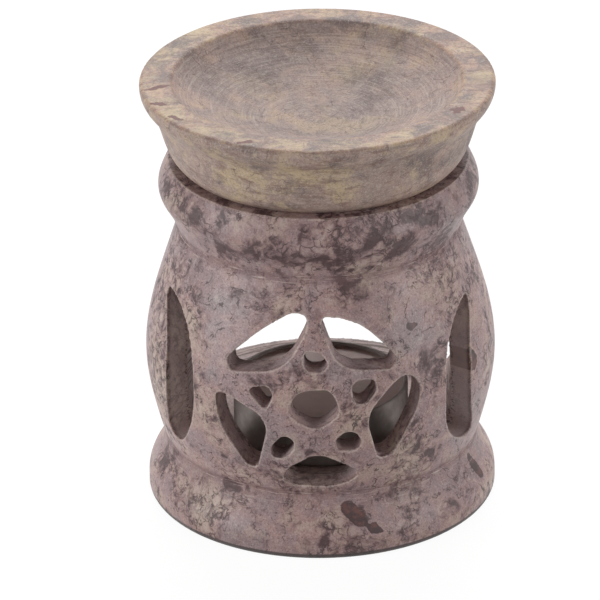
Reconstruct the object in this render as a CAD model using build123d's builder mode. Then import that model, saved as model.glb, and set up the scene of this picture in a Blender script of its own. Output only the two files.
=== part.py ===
"""A carved soapstone essential oil burner: a hollow stand with a lift-off oil dish and a tealight.

Millimetres, +Z up. The origin is at the bottom centre of the foot, the carved star faces -Y and
the door for the tealight faces +Y.
"""

import os
from math import sqrt

from build123d import *

# Stand, outside: a foot, a barrel-shaped belly, a narrow neck and a rounded collar.
foot_height = 14.0
foot_flare = 3.8
foot_band_height = 3.0
foot_edge_radius = 1.2
waist_inset = 3.8
belly_height = 49.5
belly_radius = 38.0
neck_inset = 7.4
collar_height = 14.8
collar_bulge = 3.8
collar_edge_inset = 2.0
neck_cove_radius = 1.5

# Heights along the belly and collar, and the belly's fullness between neck and widest point. The
# waist and the neck are given as how far they lie inside the belly's widest circle.
belly_widest_share = 0.385
belly_low_shares = (0.46, 0.125)
belly_shoulder_shares = (0.42, 0.81)
collar_widest_share = 0.54
collar_low_shares = (0.48, 0.29)

# Stand, inside: the chamber turned out of the belly, and the bore through the neck.
base_thickness = 15.0
waist_wall = 7.6
belly_wall = 5.8
neck_wall = 5.1
chamber_corner_radius = 2.5
bore_edge_radius = 0.8

# Carved star: eleven windows whose walls run together behind the axis, as a hand file leaves them.
# Its centre and half height are shares of the belly's height, its half width, focus and reach shares
# of the belly's radius. Each corner is rounded over a share of the shorter side that meets there.
star_centre_share = 0.4485
star_rise_share = 0.404
star_width_share = 0.5263
star_focus_share = 0.868
star_reach_share = 0.526
star_round_share = 0.46

# Leaf-shaped slots beside the star: azimuth from the front, and where the cut begins inside the
# chamber as a share of the belly's radius.
slot_angle = 53.0
slot_reach_share = 0.526

# Door at the back for the tealight, with a lip above the chamber floor. Its sides lie a jamb's width
# inside the chamber's widest circle, and its heights are shares of the belly's height.
door_jamb = 3.7
door_lip = 2.1
door_jamb_share = 0.311
door_arch_share = 0.424
door_corner_radius = 4.0

# Oil dish: its rim stands a little past the belly, and the bowl starts inside the rim's flat land.
dish_height = 18.1
dish_seat_width = 3.9
dish_side_rise_shares = (0.42, 0.22)
dish_shoulder_shares = (0.79, 0.71)
rim_overhang = 0.1
rim_land = 5.9
rim_band_height = 6.5
rim_undercut = 3.0
rim_edge_radius = 0.9
rim_cove_radius = 2.0
bowl_depth = 10.4
bowl_wall_height = 3.2
bowl_wall_inset = 2.2
bowl_corner_radius = 10.0
bowl_lip_radius = 1.0
spigot_depth = 3.0
spigot_clearance = 0.8
spigot_edge_radius = 0.6

# Tealight: a low cup that stands a little forward of the axis, towards the star.
tealight_forward = 5.0
cup_radius = 19.0
cup_height = 12.0
cup_wall = 0.4
cup_corner_radius = 1.0
cup_bead_radius = 0.5
wax_height = 10.6
wax_clearance = 0.1
sustainer_radius = 6.5
sustainer_thickness = 0.4
sustainer_neck_height = 2.6
sustainer_neck_wall = 0.4
wick_radius = 0.8
wick_stand = 4.0
wick_clearance = 0.05

# Cutters run this far past the faces that they open.
overrun = 4.0

# Heights and radii that follow.
neck_z = foot_height + belly_height
stand_z = neck_z + collar_height
rim_z = stand_z + dish_height
waist_radius = belly_radius - waist_inset
neck_radius = belly_radius - neck_inset
foot_radius = waist_radius + foot_flare
belly_widest_z = foot_height + belly_height * belly_widest_share
collar_radius = neck_radius + collar_bulge
collar_widest_z = neck_z + collar_height * collar_widest_share
bore_radius = neck_radius - neck_wall
chamber_radius = belly_radius - belly_wall
star_z = foot_height + belly_height * star_centre_share
star_half_height = belly_height * star_rise_share
star_half_width = belly_radius * star_width_share
star_focus = belly_radius * star_focus_share
star_reach = belly_radius * star_reach_share
slot_reach = belly_radius * slot_reach_share
sill_z = base_thickness + door_lip
jamb_z = sill_z + belly_height * door_jamb_share
arch_z = jamb_z + belly_height * door_arch_share
door_half_width = chamber_radius - door_jamb
rim_radius = belly_radius + rim_overhang
bowl_radius = rim_radius - rim_edge_radius - rim_land

# Corners of the star's windows as shares of the star's half width and half height, across and up
# from its centre, measured on the belly's surface.
petal_shares = (
    ((-0.29, 1.01), (-0.115, 0.985), (-0.125, 0.82), (-0.37, 0.415), (-0.95, 0.315), (-1.0, 0.44),
     (-0.9, 0.55), (-0.62, 0.815)),
    ((0.06, 0.97), (0.25, 0.96), (0.52, 0.855), (0.8, 0.57), (0.87, 0.45), (0.8, 0.365),
     (0.37, 0.42), (0.21, 0.51), (0.05, 0.87)),
    ((0.93, 0.27), (1.03, 0.23), (1.1, 0.08), (1.06, -0.13), (0.8, -0.655), (0.65, -0.68),
     (0.505, -0.1), (0.82, 0.21)),
    ((-0.02, -0.545), (0.27, -0.69), (0.455, -0.85), (0.36, -0.94), (0.15, -1.0), (-0.28, -0.985),
     (-0.41, -0.905), (-0.34, -0.765)),
    ((-1.1, 0.04), (-0.95, 0.045), (-0.63, -0.105), (-0.545, -0.27), (-0.675, -0.8), (-0.79, -0.795),
     (-1.04, -0.36), (-1.09, -0.12)),
)
bead_shares = (
    ((-0.155, 0.62), (0.035, 0.62), (0.125, 0.48), (0.06, 0.405), (-0.14, 0.405)),
    ((0.365, 0.25), (0.47, 0.3), (0.62, 0.28), (0.635, 0.15), (0.5, 0.02), (0.39, 0.05)),
    ((0.18, -0.4), (0.28, -0.285), (0.4, -0.295), (0.475, -0.42), (0.43, -0.525), (0.21, -0.52)),
    ((-0.515, -0.5), (-0.39, -0.34), (-0.28, -0.36), (-0.25, -0.48), (-0.37, -0.64), (-0.51, -0.63)),
    ((-0.775, 0.165), (-0.54, 0.23), (-0.475, 0.12), (-0.56, -0.06)),
)
heart_shares = ((-0.23, 0.19), (0.1, 0.215), (0.175, 0.14), (0.25, -0.055), (-0.01, -0.27), (-0.335, -0.085))

# Points round each slot, seen square to its azimuth: away from the star as a share of the belly's
# radius, and up the belly as a share of its height. The two were cut by hand and differ.
right_slot_shares = (
    (0.19, 0.761), (0.088, 0.73), (-0.104, 0.516), (-0.115, 0.434), (0.027, 0.139), (0.2, 0.11),
    (0.148, 0.25), (0.117, 0.454), (0.146, 0.58),
)
left_slot_shares = (
    (0.243, 0.782), (0.06, 0.739), (-0.121, 0.519), (-0.133, 0.356), (-0.039, 0.193), (0.137, 0.105),
    (0.156, 0.11), (0.154, 0.246), (0.14, 0.524), (0.162, 0.598),
)


def between(low, high, share):
    """Value that lies a share of the way from low to high."""
    return low + (high - low) * share


def star_section(corner_shares, depth):
    """Corners of a star window on a plane that stands a depth in front of the axis."""
    corners = []
    for across_share, up_share in corner_shares:
        across = star_half_width * across_share
        on_belly = sqrt(belly_radius**2 - across**2)
        spread = (star_focus + depth) / (star_focus + on_belly)
        corners.append((across * spread, star_z + star_half_height * up_share))
    return corners


def rounded(corners):
    """Start, corner and end of the bend that rounds each corner of a closed outline."""
    bends = []
    for index, corner in enumerate(corners):
        middle = Vector(*corner)
        before = Vector(*corners[index - 1]) - middle
        after = Vector(*corners[(index + 1) % len(corners)]) - middle
        reach = min(before.length, after.length) * star_round_share
        bends.append((middle + before.normalized() * reach, middle, middle + after.normalized() * reach))
    return bends


# Star cutter: one loft for each window, from in front of the belly to inside the chamber.
star_depths = (belly_radius + overrun, star_reach)
with BuildPart() as star_cutter:
    for corner_shares in (*petal_shares, *bead_shares, heart_shares):
        for depth in star_depths:
            bends = rounded(star_section(corner_shares, depth))
            with BuildSketch(Plane.XZ.offset(depth)):
                with BuildLine():
                    for index, (start, middle, end) in enumerate(bends):
                        Line(bends[index - 1][-1], start)
                        Bezier(start, middle, end)
                make_face()
        loft(ruled=True)

# Slot cutter: one leaf pushed through the wall on the right of the star and one on the left.
with BuildPart() as slot_cutter:
    for side, point_shares in ((1, right_slot_shares), (-1, left_slot_shares)):
        facing = Vector(0, -1, 0).rotate(Axis.Z, side * slot_angle)
        level = Vector(0, 0, 1).cross(facing)
        outline = []
        for away_share, up_share in point_shares:
            outline.append((side * belly_radius * away_share, foot_height + belly_height * up_share))
        with BuildSketch(Plane(origin=facing * slot_reach, x_dir=level, z_dir=facing)):
            with BuildLine():
                Spline(*outline, periodic=True)
            make_face()
        extrude(amount=belly_radius + overrun - slot_reach)

# Door cutter: a flat sill, straight jambs and a round arch, cut square through the back wall.
with BuildPart() as door_cutter:
    with BuildSketch(Plane.XZ) as door:
        with BuildLine():
            Polyline(
                (-door_half_width, jamb_z),
                (-door_half_width, sill_z),
                (door_half_width, sill_z),
                (door_half_width, jamb_z),
            )
            ThreePointArc(
                (door_half_width, jamb_z),
                (0, arch_z),
                (-door_half_width, jamb_z),
            )
        make_face()
        fillet(door.vertices().group_by(Axis.Y)[0], door_corner_radius)
    extrude(amount=-(max(belly_radius, foot_radius) + overrun))

# Burner body: the outside turned first, then the chamber, then the carved openings.
with BuildPart() as burner_body:
    with BuildSketch(Plane.XZ) as outside:
        with BuildLine():
            widest = (belly_radius, belly_widest_z)
            waist = (waist_radius, foot_height)
            neck = (neck_radius, neck_z)
            collar_widest = (collar_radius, collar_widest_z)
            collar_edge = (collar_radius - collar_edge_inset, stand_z)
            foot_band = (foot_radius, foot_band_height)
            Polyline((0, stand_z), (0, 0), (foot_radius, 0), foot_band)
            Spline(foot_band, waist, tangents=((0, 1), (0, 1)))
            Spline(
                waist,
                (
                    between(waist_radius, belly_radius, belly_low_shares[0]),
                    foot_height + belly_height * belly_low_shares[1],
                ),
                widest,
                (
                    between(neck_radius, belly_radius, belly_shoulder_shares[0]),
                    foot_height + belly_height * belly_shoulder_shares[1],
                ),
                neck,
            )
            Spline(
                neck,
                (
                    between(neck_radius, collar_radius, collar_low_shares[0]),
                    neck_z + collar_height * collar_low_shares[1],
                ),
                collar_widest,
                collar_edge,
                tangents=((1, 2), (-1, 2)),
            )
            Line(collar_edge, (0, stand_z))
        make_face()
        sole_corner = outside.vertices().group_by(Axis.Y)[0].sort_by(Axis.X)[-1]
        fillet(sole_corner, foot_edge_radius)
        neck_corner = outside.vertices().sort_by_distance(neck)[0]
        fillet(neck_corner, neck_cove_radius)
    revolve(axis=Axis.Z)
    with BuildSketch(Plane.XZ) as chamber:
        with BuildLine():
            floor_edge = (waist_radius - waist_wall, base_thickness)
            bore_foot = (bore_radius, neck_z)
            Polyline((0, stand_z + overrun), (0, base_thickness), floor_edge)
            Spline(
                floor_edge,
                (chamber_radius, belly_widest_z),
                bore_foot,
                tangents=((2, 5), (0, 1), (-1, 5)),
            )
            Polyline(bore_foot, (bore_radius, stand_z + overrun), (0, stand_z + overrun))
        make_face()
        floor_corner = chamber.vertices().sort_by_distance(floor_edge)[0]
        fillet(floor_corner, chamber_corner_radius)
    revolve(axis=Axis.Z, mode=Mode.SUBTRACT)
    top_circles = burner_body.edges().filter_by(GeomType.CIRCLE).group_by(Axis.Z)[-1]
    bore_mouth = top_circles.sort_by(SortBy.RADIUS)[0]
    fillet(bore_mouth, bore_edge_radius)
    add(star_cutter.part, mode=Mode.SUBTRACT)
    add(slot_cutter.part, mode=Mode.SUBTRACT)
    add(door_cutter.part, mode=Mode.SUBTRACT)

# Oil dish: a turned bowl whose shoulder rests on the collar, with a spigot that drops into the bore.
dish_foot_radius = bore_radius + dish_seat_width
rim_low = (rim_radius - rim_undercut, rim_z - rim_band_height)
with BuildPart() as oil_dish:
    with BuildSketch(Plane.XZ) as dish_profile:
        with BuildLine():
            spigot_radius = bore_radius - spigot_clearance
            bowl_foot = (bowl_radius - bowl_wall_inset, rim_z - bowl_wall_height)
            rim_widest = (rim_radius, rim_z - rim_edge_radius)
            rim_edge = (rim_radius - rim_edge_radius, rim_z)
            Polyline(
                (0, rim_z - bowl_depth),
                (0, stand_z - spigot_depth),
                (spigot_radius, stand_z - spigot_depth),
                (spigot_radius, stand_z),
                (dish_foot_radius, stand_z),
            )
            Spline(
                (dish_foot_radius, stand_z),
                (
                    between(dish_foot_radius, rim_low[0], dish_side_rise_shares[0]),
                    between(stand_z, rim_low[1], dish_side_rise_shares[1]),
                ),
                (
                    between(dish_foot_radius, rim_low[0], dish_shoulder_shares[0]),
                    between(stand_z, rim_low[1], dish_shoulder_shares[1]),
                ),
                rim_low,
            )
            Spline(rim_low, rim_widest, tangents=((1, 2), (0, 1)))
            TangentArc(rim_widest, rim_edge, tangent=(0, 1))
            Polyline(rim_edge, (bowl_radius, rim_z), bowl_foot)
            TangentArc((0, rim_z - bowl_depth), bowl_foot, tangent=(1, 0))
        make_face()
        fillet(
            dish_profile.vertices().sort_by_distance((bowl_radius, rim_z))[0],
            bowl_lip_radius,
        )
        fillet(
            dish_profile.vertices().sort_by_distance(bowl_foot)[0],
            bowl_corner_radius,
        )
        fillet(
            dish_profile.vertices().sort_by_distance(rim_low)[0],
            rim_cove_radius,
        )
        fillet(
            dish_profile.vertices().group_by(Axis.Y)[0].sort_by(Axis.X)[-1],
            spigot_edge_radius,
        )
    revolve(axis=Axis.Z)

# Tealight, standing on the chamber floor: a drawn cup with a beaded rim.
tealight_axis = Axis((0, -tealight_forward, 0), (0, 0, 1))
tealight_section = Plane.XZ.offset(tealight_forward)
cup_z = base_thickness
cup_floor_z = cup_z + cup_wall
cup_rim_z = cup_z + cup_height
cup_bore = cup_radius - cup_wall
with BuildPart() as tealight_cup:
    with BuildSketch(tealight_section) as cup_profile:
        with BuildLine():
            Polyline(
                (0, cup_floor_z),
                (0, cup_z),
                (cup_radius, cup_z),
                (cup_radius, cup_rim_z - cup_bead_radius),
                (cup_bore, cup_rim_z - cup_bead_radius),
                (cup_bore, cup_floor_z),
                (0, cup_floor_z),
            )
        make_face()
        outer_corner = cup_profile.vertices().group_by(Axis.Y)[0].sort_by(Axis.X)[-1]
        fillet(outer_corner, cup_corner_radius)
        inner_corner = cup_profile.vertices().sort_by_distance((cup_bore, cup_floor_z))[0]
        fillet(inner_corner, cup_corner_radius - cup_wall)
        with Locations((cup_radius - cup_bead_radius, cup_rim_z - cup_bead_radius)):
            Circle(cup_bead_radius)
    revolve(axis=tealight_axis)

# Wick sustainer: a small disc on the cup's floor with a neck that grips the wick.
sustainer_z = cup_floor_z
sustainer_neck_radius = wick_radius + wick_clearance + sustainer_neck_wall
with BuildPart() as wick_sustainer:
    with BuildSketch(Plane((0, -tealight_forward, sustainer_z))):
        Circle(sustainer_radius)
    extrude(amount=sustainer_thickness)
    with BuildSketch(Plane((0, -tealight_forward, sustainer_z + sustainer_thickness))):
        Circle(sustainer_neck_radius)
        Circle(wick_radius + wick_clearance, mode=Mode.SUBTRACT)
    extrude(amount=sustainer_neck_height)

# Wick: stands on the sustainer's disc and runs up through the wax.
wick_z = sustainer_z + sustainer_thickness
wax_top_z = cup_floor_z + wax_height
with BuildPart() as tealight_wick:
    with BuildSketch(Plane((0, -tealight_forward, wick_z))):
        Circle(wick_radius)
    extrude(amount=wax_top_z + wick_stand - wick_z)

# Wax: poured round the sustainer and the wick.
wax_radius = cup_bore - wax_clearance
with BuildPart() as tealight_wax:
    with BuildSketch(tealight_section) as wax_profile:
        with BuildLine():
            neck_top_z = wick_z + sustainer_neck_height + wax_clearance
            neck_room = sustainer_neck_radius + wax_clearance
            wick_room = wick_radius + wick_clearance
            disc_room = sustainer_radius + wax_clearance
            disc_top_z = wick_z + wax_clearance
            Polyline(
                (wick_room, wax_top_z),
                (wick_room, neck_top_z),
                (neck_room, neck_top_z),
                (neck_room, disc_top_z),
                (disc_room, disc_top_z),
                (disc_room, cup_floor_z),
                (wax_radius, cup_floor_z),
                (wax_radius, wax_top_z),
                close=True,
            )
        make_face()
        wax_corner = wax_profile.vertices().group_by(Axis.Y)[0].sort_by(Axis.X)[-1]
        fillet(wax_corner, cup_corner_radius)
    revolve(axis=tealight_axis)

burner_body.part.label = "burner_body"
oil_dish.part.label = "oil_dish"
tealight_cup.part.label = "tealight_cup"
wick_sustainer.part.label = "wick_sustainer"
tealight_wick.part.label = "tealight_wick"
tealight_wax.part.label = "tealight_wax"

os.makedirs("parts", exist_ok=True)
export_step(burner_body.part, "parts/burner_body.step")
export_step(oil_dish.part, "parts/oil_dish.step")
export_step(tealight_cup.part, "parts/tealight_cup.step")
export_step(wick_sustainer.part, "parts/wick_sustainer.step")
export_step(tealight_wick.part, "parts/tealight_wick.step")
export_step(tealight_wax.part, "parts/tealight_wax.step")
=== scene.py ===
"""Looks of a carved soapstone oil burner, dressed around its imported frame.

The stand and the dish are even-meshed copies of the frame's solids with softened, hand-worked edges. The
tealight's cup, wax and wick are built here at the frame's places. Lengths are metres, and a name that
ends in _mm holds millimetres.
"""

import logging
import math
from dataclasses import dataclass
from enum import Enum
from typing import Any, Optional, Union

import bmesh
import bpy
import numpy as np
from mathutils import Matrix, Vector, noise


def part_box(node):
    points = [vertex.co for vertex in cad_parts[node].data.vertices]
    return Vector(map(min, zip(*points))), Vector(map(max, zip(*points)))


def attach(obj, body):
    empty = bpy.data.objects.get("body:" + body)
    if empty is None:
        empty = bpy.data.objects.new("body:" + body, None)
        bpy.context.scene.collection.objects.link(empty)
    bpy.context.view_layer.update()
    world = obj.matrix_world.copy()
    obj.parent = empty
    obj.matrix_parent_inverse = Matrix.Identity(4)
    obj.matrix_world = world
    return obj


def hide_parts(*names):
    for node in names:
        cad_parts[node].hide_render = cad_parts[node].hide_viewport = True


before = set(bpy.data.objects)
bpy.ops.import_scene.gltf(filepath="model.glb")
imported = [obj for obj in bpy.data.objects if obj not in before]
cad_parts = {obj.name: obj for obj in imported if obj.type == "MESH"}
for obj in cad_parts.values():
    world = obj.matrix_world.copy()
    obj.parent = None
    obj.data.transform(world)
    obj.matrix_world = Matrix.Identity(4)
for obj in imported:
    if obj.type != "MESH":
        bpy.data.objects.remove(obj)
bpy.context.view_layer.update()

MM = 0.001
SKIN_RADIUS_MM = 36.0
FLAT = 1000.0
WANDER_MM = 2.4
log = logging.getLogger("oil_burner")

Colour = tuple[float, float, float, float]
Span = tuple[float, float]
Profile = list[tuple[float, float]]


def tone(red: int, green: int, blue: int) -> Colour:
    """Turn a screen colour into the linear colour that shaders use.

    Args:
        red: Red from 0 to 255.
        green: Green from 0 to 255.
        blue: Blue from 0 to 255.

    Returns:
        The linear colour with full alpha.
    """
    linear = []
    for level in (red, green, blue):
        share = level / 255
        low = share / 12.92
        high = ((share + 0.055) / 1.055) ** 2.4
        linear.append(low if share <= 0.04045 else high)
    return (linear[0], linear[1], linear[2], 1.0)


class Link:
    """A shader socket that takes part in Python expressions."""

    def __init__(self, shader: "Shader", socket: bpy.types.NodeSocket) -> None:
        """Wrap one output socket of a shader's node."""
        self.shader = shader
        self.socket = socket

    def also(self, output: Union[int, str]) -> "Link":
        """Another output of the same node."""
        return Link(self.shader, self.socket.node.outputs[output])

    def math(self, operation: str, *values: "Value") -> "Link":
        """Add one Math node.

        Args:
            operation: The Math node's operation.
            values: Its inputs, in order.

        Returns:
            The node's result.
        """
        return self.shader.node("ShaderNodeMath", {"operation": operation}, dict(enumerate(values)))

    def __add__(self, other: "Value") -> "Link":
        """Sum."""
        return self.math("ADD", self, other)

    __radd__ = __add__

    def __sub__(self, other: "Value") -> "Link":
        """Difference."""
        return self.math("SUBTRACT", self, other)

    def __rsub__(self, other: "Value") -> "Link":
        """Difference, reflected."""
        return self.math("SUBTRACT", other, self)

    def __mul__(self, other: "Value") -> "Link":
        """Product."""
        return self.math("MULTIPLY", self, other)

    __rmul__ = __mul__

    def __truediv__(self, other: "Value") -> "Link":
        """Quotient."""
        return self.math("DIVIDE", self, other)

    def __abs__(self) -> "Link":
        """Size without sign."""
        return self.math("ABSOLUTE", self)

    def lowest(self, other: "Value") -> "Link":
        """The smaller of two values."""
        return self.math("MINIMUM", self, other)

    def highest(self, other: "Value") -> "Link":
        """The larger of two values."""
        return self.math("MAXIMUM", self, other)

    def span(self, start: float, end: float) -> "Link":
        """Rise smoothly from 0 to 1 between two values.

        Args:
            start: Value that gives 0.
            end: Value that gives 1, which may be the lower one.

        Returns:
            The eased share.
        """
        settings = {"interpolation_type": "SMOOTHSTEP", "clamp": True}
        if start < end:
            return self.shader.node("ShaderNodeMapRange", settings, {0: self, 1: start, 2: end})
        return 1 - self.shader.node("ShaderNodeMapRange", settings, {0: self, 1: end, 2: start})


Value = Union[Link, float]
Paint = Union[Link, Colour]


class Shader:
    """The nodes of one material or world, all added through one method."""

    def __init__(self, owner: Union[bpy.types.Material, bpy.types.World]) -> None:
        """Start with no nodes."""
        owner.use_nodes = True
        self.owner = owner
        self.tree = owner.node_tree
        self.tree.nodes.clear()

    def node(
        self,
        kind: str,
        settings: Optional[dict[str, Any]] = None,
        inputs: Optional[dict[Union[int, str], Any]] = None,
        output: Union[int, str] = 0,
    ) -> Link:
        """Add one node.

        Args:
            kind: The node's type.
            settings: Properties that are set first; "stops" holds a ramp's places and colours.
            inputs: Values or links of its sockets, by name or place.
            output: The output that is wanted.

        Returns:
            That output.
        """
        made = self.tree.nodes.new(kind)
        for key, value in (settings or {}).items():
            if key == "stops":
                self._set_stops(made.color_ramp, value)
            else:
                setattr(made, key, value)
        for key, value in (inputs or {}).items():
            if isinstance(value, Link):
                self.tree.links.new(value.socket, made.inputs[key])
            else:
                made.inputs[key].default_value = value
        return Link(self, made.outputs[output])

    @staticmethod
    def _set_stops(ramp: bpy.types.ColorRamp, stops: list[tuple[float, Colour]]) -> None:
        """Give a ramp its stops.

        Args:
            ramp: The ramp of a new node, which has two stops.
            stops: Place and colour of each stop, in order.
        """
        while len(ramp.elements) < len(stops):
            ramp.elements.new(1.0)
        for element, (place, colour) in zip(ramp.elements, stops):
            element.position = place
            element.color = colour

    def place(self) -> Link:
        """Place on the piece in millimetres."""
        own = self.node("ShaderNodeTexCoord", output="Object")
        settings = {"operation": "SCALE"}
        return self.node("ShaderNodeVectorMath", settings, {0: own, "Scale": 1 / MM})

    def parts(self, point: Link) -> tuple[Link, Link, Link]:
        """The three numbers of a point.

        Args:
            point: A vector.

        Returns:
            Its x, y and z.
        """
        x = self.node("ShaderNodeSeparateXYZ", None, {0: point})
        return (x, x.also(1), x.also(2))

    def point(self, x: Value, y: Value, z: Value) -> Link:
        """A vector from three numbers."""
        return self.node("ShaderNodeCombineXYZ", None, {0: x, 1: y, 2: z})

    def drift(self, point: Link, scale: float, reach: float, detail: float = 3.0) -> Link:
        """Push a point about by slow noise, so that what is drawn there wanders.

        Args:
            point: The point.
            scale: Waves of the noise for each millimetre.
            reach: How far the point may go, in millimetres.
            detail: Octaves of the noise.

        Returns:
            The moved point.
        """
        inputs = {"Vector": point, "Scale": scale, "Detail": detail}
        waves = self.node("ShaderNodeTexNoise", None, inputs, "Color")
        settings = {"operation": "MULTIPLY_ADD"}
        return self.node("ShaderNodeVectorMath", settings, {0: waves, 1: (reach,) * 3, 2: point})

    def noise(self, point: Link, scale: float, detail: float = 4.0, rough: float = 0.55) -> Link:
        """Cloudy noise from 0 to 1.

        Args:
            point: Where it is read.
            scale: Waves for each unit of the point.
            detail: Octaves.
            rough: Strength of the finer octaves.

        Returns:
            The noise's value.
        """
        inputs = {"Vector": point, "Scale": scale, "Detail": detail, "Roughness": rough}
        return self.node("ShaderNodeTexNoise", None, inputs)

    def cracks(self, point: Link, scale: float) -> Link:
        """Distance to the nearest edge of a net of cells.

        Args:
            point: Where it is read.
            scale: Cells for each unit of the point.

        Returns:
            The distance as a share of a cell.
        """
        settings = {"feature": "DISTANCE_TO_EDGE"}
        return self.node("ShaderNodeTexVoronoi", settings, {"Vector": point, "Scale": scale}, "Distance")

    def ramp(self, value: Link, stops: list[tuple[float, Colour]]) -> Link:
        """Colour from a value, by stops."""
        return self.node("ShaderNodeValToRGB", {"stops": stops}, {0: value})

    def mix(self, share: Value, first: Paint, second: Paint, blend: str = "MIX") -> Link:
        """Mix two colours.

        Args:
            share: How much of the second colour shows.
            first: The colour underneath.
            second: The colour on top.
            blend: The Mix node's way of mixing.

        Returns:
            The mixed colour.
        """
        settings = {"data_type": "RGBA", "blend_type": blend, "clamp_factor": True}
        return self.node("ShaderNodeMix", settings, {0: share, 6: first, 7: second}, 2)

    def carried(self, name: str) -> Link:
        """A value that the mesh carries at its points."""
        return self.node("ShaderNodeAttribute", {"attribute_name": name}, None, "Fac")

    def bump(self, height: Link, depth: float, below: Optional[Link] = None) -> Link:
        """Turn a height into a normal.

        Args:
            height: Height from 0 to 1.
            depth: What a height of 1 measures, in metres.
            below: A normal that this one goes on top of.

        Returns:
            The normal.
        """
        inputs = {"Height": height, "Distance": depth, "Strength": 1.0}
        if below is not None:
            inputs["Normal"] = below
        return self.node("ShaderNodeBump", None, inputs)

    def finish(self, **sockets: Any) -> bpy.types.Material:
        """Close the material with a Principled shader.

        Args:
            sockets: Its inputs, with _ for a space in a name.

        Returns:
            The material.
        """
        inputs = {key.replace("_", " "): value for key, value in sockets.items()}
        self.close(self.node("ShaderNodeBsdfPrincipled", None, inputs))
        return self.owner

    def close(self, surface: Link) -> None:
        """Send a surface to the output of the material or world."""
        is_world = isinstance(self.owner, bpy.types.World)
        made = self.tree.nodes.new("ShaderNodeOutputWorld" if is_world else "ShaderNodeOutputMaterial")
        self.tree.links.new(surface.socket, made.inputs["Surface"])


def new_material(name: str) -> Shader:
    """Start a material."""
    return Shader(bpy.data.materials.new(name))


class MarkKind(Enum):
    """What a mark in the stone is made of."""

    RUST = "iron-red inclusion"
    SMUDGE = "dark cloud of mineral"
    CREAM = "pale yellow patch"


@dataclass(frozen=True)
class Mark:
    """One mark in a stone, in millimetres.

    On the stand it lies on the unrolled skin: across runs to the right from the middle of the star, and up
    runs from the floor. On the dish it is seen from above: up runs away from the star.
    """

    across: float
    up: float
    half_length: float
    half_width: float
    tilt_deg: float


STAND_MARKS: dict[MarkKind, tuple[Mark, ...]] = {
    MarkKind.RUST: (
        Mark(7.6, 9.6, 3.4, 1.8, -48),
        Mark(11.6, 6.5, 2.2, 0.8, -22),
        Mark(37.4, 38.6, 3.6, 1.9, -48),
        Mark(22.0, 51.3, 1.4, 0.9, -31),
        Mark(-21.1, 13.3, 2.6, 1.3, -8),
        Mark(44.0, 9.4, 3.0, 1.4, -72),
        Mark(104.0, 8.5, 4.2, 1.4, 18),
        Mark(-72.0, 30.0, 3.6, 1.3, 55),
    ),
    MarkKind.SMUDGE: (
        Mark(31.5, 5.3, 3.0, 1.3, 30),
        Mark(-28.5, 48.6, 2.4, 1.1, -50),
        Mark(-16.3, 57.6, 4.2, 1.8, -14),
        Mark(4.5, 69.0, 4.8, 1.9, 2),
        Mark(-11.4, 71.5, 6.2, 2.8, -18),
        Mark(7.8, 61.5, 5.0, 2.1, -50),
        Mark(0.1, 55.6, 2.3, 1.8, -41),
        Mark(44.0, 76.0, 4.8, 1.4, -5),
        Mark(12.0, 72.6, 2.4, 0.9, 45),
        Mark(-43.7, 11.9, 4.6, 1.6, 17),
        Mark(28.3, 20.7, 2.2, 1.1, 10),
        Mark(-0.7, 4.6, 1.9, 1.1, 3),
        Mark(-11.3, 3.3, 1.6, 1.1, -15),
        Mark(-14.1, 41.6, 3.0, 1.2, -19),
        Mark(6.2, 34.1, 1.3, 0.9, -39),
        Mark(-30.0, 73.5, 4.6, 2.2, 12),
        Mark(-21.0, 68.5, 3.6, 1.8, -30),
        Mark(19.5, 70.0, 3.8, 1.9, 25),
        Mark(29.0, 74.5, 4.4, 2.0, -12),
        Mark(37.0, 70.5, 3.2, 1.8, 40),
        Mark(88.0, 58.0, 6.5, 2.4, 24),
        Mark(-84.0, 62.0, 6.0, 2.2, -32),
    ),
}

DISH_MARKS: dict[MarkKind, tuple[Mark, ...]] = {
    MarkKind.RUST: (
        Mark(-34.0, -5.0, 2.6, 0.9, 30),
        Mark(-33.5, -13.5, 2.0, 0.8, -20),
        Mark(30.0, -17.0, 1.9, 1.3, 60),
        Mark(-14.5, -33.0, 1.8, 0.7, 10),
        Mark(-29.5, -20.5, 1.6, 0.7, -40),
    ),
    MarkKind.SMUDGE: (
        Mark(22.0, -27.5, 4.0, 1.6, 40),
        Mark(31.5, -10.0, 3.0, 1.5, 70),
        Mark(-30.0, 18.0, 3.0, 1.2, 60),
        # Partly painted shade: the next four clouds darken the back of the bowl, whose wall faces away from
        # the light.
        Mark(-20.0, 15.0, 9.0, 4.5, 20),
        Mark(12.0, 15.0, 6.0, 4.0, 70),
        Mark(-4.0, 15.0, 5.0, 3.0, 0),
        Mark(0.0, 30.0, 14.0, 2.0, 0),
        Mark(36.0, 8.0, 3.0, 1.6, 80),
    ),
    MarkKind.CREAM: (
        Mark(-33.0, 11.0, 4.0, 2.2, 60),
        Mark(-29.0, 24.0, 5.0, 2.0, 45),
        Mark(35.5, -0.5, 3.5, 2.0, 80),
        Mark(-30.0, -19.0, 5.0, 2.2, -50),
        Mark(-6.0, -33.5, 6.0, 2.2, 0),
        Mark(7.0, -34.5, 5.0, 2.0, 8),
        Mark(-18.0, -30.0, 5.0, 2.0, -30),
        Mark(20.0, -28.5, 4.0, 1.8, 35),
        Mark(14.0, 28.0, 4.0, 1.6, -30),
        Mark(10.0, 18.0, 6.0, 3.5, 20),
        Mark(3.0, -3.0, 9.0, 4.0, 0),
    ),
}


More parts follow.
